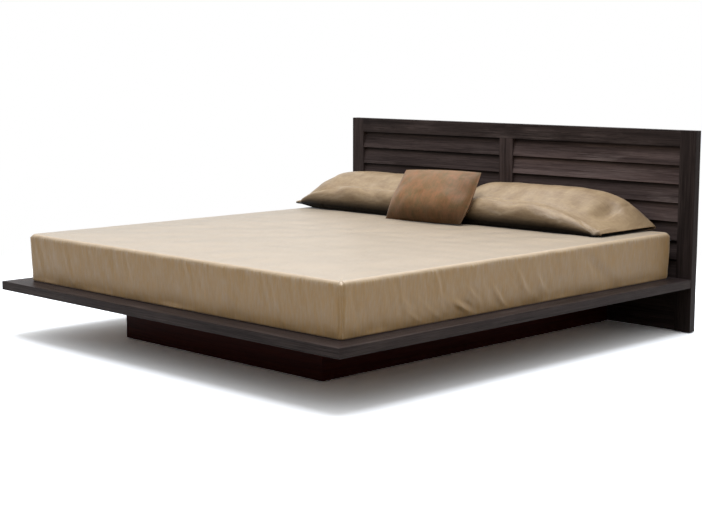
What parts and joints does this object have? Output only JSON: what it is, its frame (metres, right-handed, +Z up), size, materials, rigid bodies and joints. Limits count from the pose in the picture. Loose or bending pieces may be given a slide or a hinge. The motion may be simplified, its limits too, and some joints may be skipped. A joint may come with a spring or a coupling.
{
  "type": "platform bed",
  "caption": "Low king platform bed with a thin overhanging deck on a recessed plinth, louvred headboard, mattress, pillows and a cushion.",
  "frame": {"origin": "on the floor, in the middle of the bed's outline", "axes": "+X to the right seen from the foot, +Y from the foot to the headboard, +Z up"},
  "size_m": [2.095, 2.198, 0.889],
  "materials": {
    "espresso_wood": "dark grey-brown stain, open grain, satin",
    "mahogany_wood": "dark red-brown stain, satin",
    "pale_wood": "planed, unfinished",
    "zinc_steel": "zinc plated",
    "glide_plastic": "moulded, matt",
    "mattress_satin": "beige satin fitted cover",
    "pillow_satin": "champagne satin pillowcase",
    "cushion_satin": "copper-brown satin"
  },
  "bodies": {
    "bed_frame": {"headboard_stile_left": "espresso_wood", "headboard_stile_right": "espresso_wood", "headboard_top_rail": "espresso_wood", "headboard_middle_rail": "espresso_wood", "center_stile_left": "espresso_wood", "center_stile_right": "espresso_wood", "headboard_lower_panel": "espresso_wood", "louver_left_1": "espresso_wood", "louver_left_2": "espresso_wood", "louver_left_3": "espresso_wood", "louver_left_4": "espresso_wood", "louver_left_5": "espresso_wood", "louver_left_6": "espresso_wood", "louver_left_7": "espresso_wood", "louver_right_1": "espresso_wood", "louver_right_2": "espresso_wood", "louver_right_3": "espresso_wood", "louver_right_4": "espresso_wood", "louver_right_5": "espresso_wood", "louver_right_6": "espresso_wood", "louver_right_7": "espresso_wood", "platform_foot_board": "espresso_wood", "platform_side_board_left": "espresso_wood", "platform_side_board_right": "espresso_wood", "platform_head_board": "espresso_wood", "plinth_front": "mahogany_wood", "plinth_side_left": "mahogany_wood", "plinth_side_right": "mahogany_wood", "plinth_back": "mahogany_wood", "mitre_splines": "pale_wood", "center_stile_dowels": "pale_wood", "side_cleat_left": "pale_wood", "side_cleat_right": "pale_wood", "joist_left": "pale_wood", "joist_center": "pale_wood", "joist_right": "pale_wood", "plinth_divider": "pale_wood", "plinth_corner_blocks": "pale_wood", "deck_slat_01": "pale_wood", "deck_slat_02": "pale_wood", "deck_slat_03": "pale_wood", "deck_slat_04": "pale_wood", "deck_slat_05": "pale_wood", "deck_slat_06": "pale_wood", "deck_slat_07": "pale_wood", "deck_slat_08": "pale_wood", "deck_slat_09": "pale_wood", "deck_slat_10": "pale_wood", "deck_slat_11": "pale_wood", "deck_slat_12": "pale_wood", "bed_bolts": "zinc_steel", "barrel_nuts": "zinc_steel", "joist_screws": "zinc_steel", "leg_glides": "glide_plastic", "plinth_glides": "glide_plastic"},
    "mattress": {"mattress": "mattress_satin"},
    "pillow_left": {"pillow_left": "pillow_satin"},
    "pillow_right": {"pillow_right": "pillow_satin"},
    "cushion": {"cushion": "cushion_satin"}
  },
  "joints": [
    {"name": "mattress_lift", "type": "slide", "parent": "bed_frame", "child": "mattress", "axis": [0, 0, 1], "range_m": [0, 0.3]},
    {"name": "pillow_left_slide", "type": "slide", "parent": "mattress", "child": "pillow_left", "axis": [-1, 0, 0], "range_m": [0, 0.3]},
    {"name": "pillow_right_slide", "type": "slide", "parent": "mattress", "child": "pillow_right", "axis": [1, 0, 0], "range_m": [0, 0.3]},
    {"name": "cushion_lift", "type": "slide", "parent": "mattress", "child": "cushion", "axis": [0, -0.766, 0.6428], "range_m": [0, 0.3]}
  ]
}
